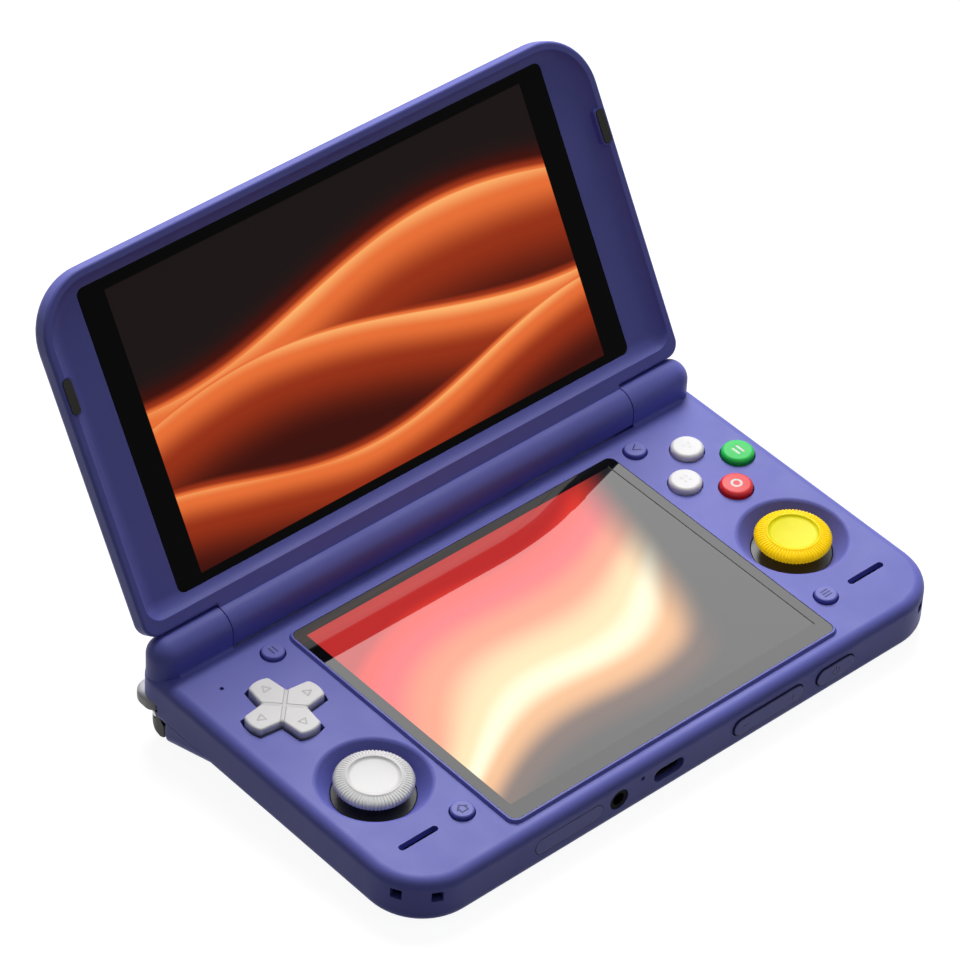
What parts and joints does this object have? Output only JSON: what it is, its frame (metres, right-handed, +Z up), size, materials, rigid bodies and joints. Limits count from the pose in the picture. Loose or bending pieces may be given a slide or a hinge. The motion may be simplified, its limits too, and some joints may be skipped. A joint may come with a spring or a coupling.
{
  "type": "clamshell handheld game console",
  "caption": "Hinged two-screen handheld game console with sticks, a direction pad, face buttons, shoulder keys and ports along the front edge, standing open.",
  "frame": {"origin": "middle of the base's flat underside, ahead of the rear grips and above the rubber feet", "axes": "+X to the player's right along the longest extent, +Y from the player towards the hinge, +Z up out of the keyed deck"},
  "size_m": [0.18, 0.1522, 0.1104],
  "materials": {
    "indigo": "fine matt texture",
    "white": "satin",
    "yellow": "satin",
    "green": "satin",
    "red": "satin",
    "black": "satin",
    "rubber": "matt",
    "glass_lower": "polished, bonded to a lit panel",
    "glass_upper": "polished, bonded to a lit panel",
    "panel": "display panel",
    "circuit": "solder mask",
    "steel": "plain",
    "dark_steel": "blackened",
    "aluminium": "bare",
    "brass": "bare",
    "battery": "wrapped pouch cell",
    "ribbon": "rolled flexible circuit"
  },
  "bodies": {
    "base": {"base_top_shell": "indigo", "knuckle_tops": "indigo", "base_bottom_shell": "indigo", "base_screws": "dark_steel", "rubber_feet": "rubber", "lower_glass": "glass_lower", "lower_display": "panel", "main_board": "circuit", "heat_sink": "aluminium", "fan_housing": "black", "battery": "battery", "port_board": "circuit", "headphone_socket": "black", "usb_socket": "steel", "card_reader": "steel", "speaker_left": "black", "speaker_right": "black", "stick_housing_left": "black", "stick_housing_right": "black", "pad_bracket": "steel", "face_membrane": "rubber", "key_boards": "circuit", "front_key_board": "circuit", "shoulder_pins": "steel", "trigger_springs": "steel", "shoulder_boards": "circuit", "hinge_shafts": "steel", "display_ribbon": "ribbon"},
    "lid": {"lid_front_shell": "indigo", "lid_back_cover": "indigo", "lid_screws": "dark_steel", "upper_glass": "glass_upper", "upper_display": "panel", "lid_board": "circuit", "lid_pads": "rubber", "hinge_bushes": "brass"},
    "fan_rotor": {"fan_rotor": "black"},
    "card_door": {"card_door": "indigo"},
    "pad_pivot": {"pad_pivot": "steel"},
    "direction_pad": {"direction_pad": "white"},
    "power_button": {"power_button": "indigo"},
    "volume_rocker": {"volume_rocker": "indigo"},
    "stick_yoke_left": {"stick_yoke_left": "steel"},
    "stick_rocker_left": {"stick_rocker_left": "black"},
    "stick_cap_left": {"stick_cap_left": "white"},
    "bumper_left": {"bumper_left": "white"},
    "trigger_left": {"trigger_left": "black"},
    "stick_yoke_right": {"stick_yoke_right": "steel"},
    "stick_rocker_right": {"stick_rocker_right": "black"},
    "stick_cap_right": {"stick_cap_right": "yellow"},
    "bumper_right": {"bumper_right": "white"},
    "trigger_right": {"trigger_right": "black"},
    "face_button_back": {"face_button_back": "white"},
    "face_button_left": {"face_button_left": "white"},
    "face_button_right": {"face_button_right": "green"},
    "face_button_front": {"face_button_front": "red"},
    "system_button_back_left": {"system_button_back_left": "indigo"},
    "system_button_back_right": {"system_button_back_right": "indigo"},
    "system_button_front_left": {"system_button_front_left": "indigo"},
    "system_button_front_right": {"system_button_front_right": "indigo"}
  },
  "joints": [
    {"name": "lid_hinge", "type": "hinge", "parent": "base", "child": "lid", "pos_m": [0, 0.0469, 0.0174], "axis": [1, 0, 0], "range_deg": [-40, 120.8]},
    {"name": "stick_tilt_y_left", "type": "hinge", "parent": "base", "child": "stick_yoke_left", "pos_m": [-0.07025, -0.0155, 0.0044], "axis": [1, 0, 0], "range_deg": [-9, 9], "stiffness_Nm_per_rad": 0.02},
    {"name": "stick_tilt_x_left", "type": "hinge", "parent": "stick_yoke_left", "child": "stick_rocker_left", "pos_m": [-0.07025, -0.0155, 0.0044], "axis": [0, 1, 0], "range_deg": [-9, 9], "stiffness_Nm_per_rad": 0.02},
    {"name": "stick_click_left", "type": "slide", "parent": "stick_rocker_left", "child": "stick_cap_left", "axis": [0, 0, -1], "range_m": [0, 0.0003], "stiffness_N_per_m": 2500},
    {"name": "bumper_press_left", "type": "hinge", "parent": "base", "child": "bumper_left", "pos_m": [-0.0542, 0.048, 0.0032], "axis": [0, 0, 1], "range_deg": [0, 1.6], "stiffness_Nm_per_rad": 0.8},
    {"name": "trigger_pull_left", "type": "hinge", "parent": "base", "child": "trigger_left", "pos_m": [-0.075, 0.0472, -0.0014], "axis": [-1, 0, 0], "range_deg": [0, 10], "stiffness_Nm_per_rad": 0.04},
    {"name": "stick_tilt_y_right", "type": "hinge", "parent": "base", "child": "stick_yoke_right", "pos_m": [0.07025, -0.0155, 0.0044], "axis": [1, 0, 0], "range_deg": [-9, 9], "stiffness_Nm_per_rad": 0.02},
    {"name": "stick_tilt_x_right", "type": "hinge", "parent": "stick_yoke_right", "child": "stick_rocker_right", "pos_m": [0.07025, -0.0155, 0.0044], "axis": [0, 1, 0], "range_deg": [-9, 9], "stiffness_Nm_per_rad": 0.02},
    {"name": "stick_click_right", "type": "slide", "parent": "stick_rocker_right", "child": "stick_cap_right", "axis": [0, 0, -1], "range_m": [0, 0.0003], "stiffness_N_per_m": 2500},
    {"name": "bumper_press_right", "type": "hinge", "parent": "base", "child": "bumper_right", "pos_m": [0.0542, 0.048, 0.0032], "axis": [0, 0, -1], "range_deg": [0, 1.6], "stiffness_Nm_per_rad": 0.8},
    {"name": "trigger_pull_right", "type": "hinge", "parent": "base", "child": "trigger_right", "pos_m": [0.075, 0.0472, -0.0014], "axis": [-1, 0, 0], "range_deg": [0, 10], "stiffness_Nm_per_rad": 0.04},
    {"name": "pad_rock_y", "type": "hinge", "parent": "base", "child": "pad_pivot", "pos_m": [-0.07175, 0.0165, 0.0072], "axis": [1, 0, 0], "range_deg": [-3, 3], "stiffness_Nm_per_rad": 0.03},
    {"name": "pad_rock_x", "type": "hinge", "parent": "pad_pivot", "child": "direction_pad", "pos_m": [-0.07175, 0.0165, 0.0072], "axis": [0, 1, 0], "range_deg": [-3, 3], "stiffness_Nm_per_rad": 0.03},
    {"name": "volume_rock", "type": "hinge", "parent": "base", "child": "volume_rocker", "pos_m": [0.026, -0.0507, 0.0066], "axis": [0, 0, 1], "range_deg": [-1.6, 1.6], "stiffness_Nm_per_rad": 0.3},
    {"name": "power_press", "type": "slide", "parent": "base", "child": "power_button", "axis": [0, 1, 0], "range_m": [0, 0.0005], "stiffness_N_per_m": 1500},
    {"name": "card_door_pull", "type": "slide", "parent": "base", "child": "card_door", "axis": [0, -1, 0], "range_m": [0, 0.005]},
    {"name": "fan_spin", "type": "hinge", "parent": "base", "child": "fan_rotor", "pos_m": [0.028, 0.0198, 0.0029], "axis": [0, 0, 1], "continuous": true},
    {"name": "face_press_back", "type": "slide", "parent": "base", "child": "face_button_back", "axis": [0, 0, -1], "range_m": [0, 0.0012], "stiffness_N_per_m": 600},
    {"name": "face_press_left", "type": "slide", "parent": "base", "child": "face_button_left", "axis": [0, 0, -1], "range_m": [0, 0.0012], "stiffness_N_per_m": 600},
    {"name": "face_press_right", "type": "slide", "parent": "base", "child": "face_button_right", "axis": [0, 0, -1], "range_m": [0, 0.0012], "stiffness_N_per_m": 600},
    {"name": "face_press_front", "type": "slide", "parent": "base", "child": "face_button_front", "axis": [0, 0, -1], "range_m": [0, 0.0012], "stiffness_N_per_m": 600},
    {"name": "system_press_back_left", "type": "slide", "parent": "base", "child": "system_button_back_left", "axis": [0, 0, -1], "range_m": [0, 0.0005], "stiffness_N_per_m": 1200},
    {"name": "system_press_back_right", "type": "slide", "parent": "base", "child": "system_button_back_right", "axis": [0, 0, -1], "range_m": [0, 0.0005], "stiffness_N_per_m": 1200},
    {"name": "system_press_front_left", "type": "slide", "parent": "base", "child": "system_button_front_left", "axis": [0, 0, -1], "range_m": [0, 0.0005], "stiffness_N_per_m": 1200},
    {"name": "system_press_front_right", "type": "slide", "parent": "base", "child": "system_button_front_right", "axis": [0, 0, -1], "range_m": [0, 0.0005], "stiffness_N_per_m": 1200}
  ]
}
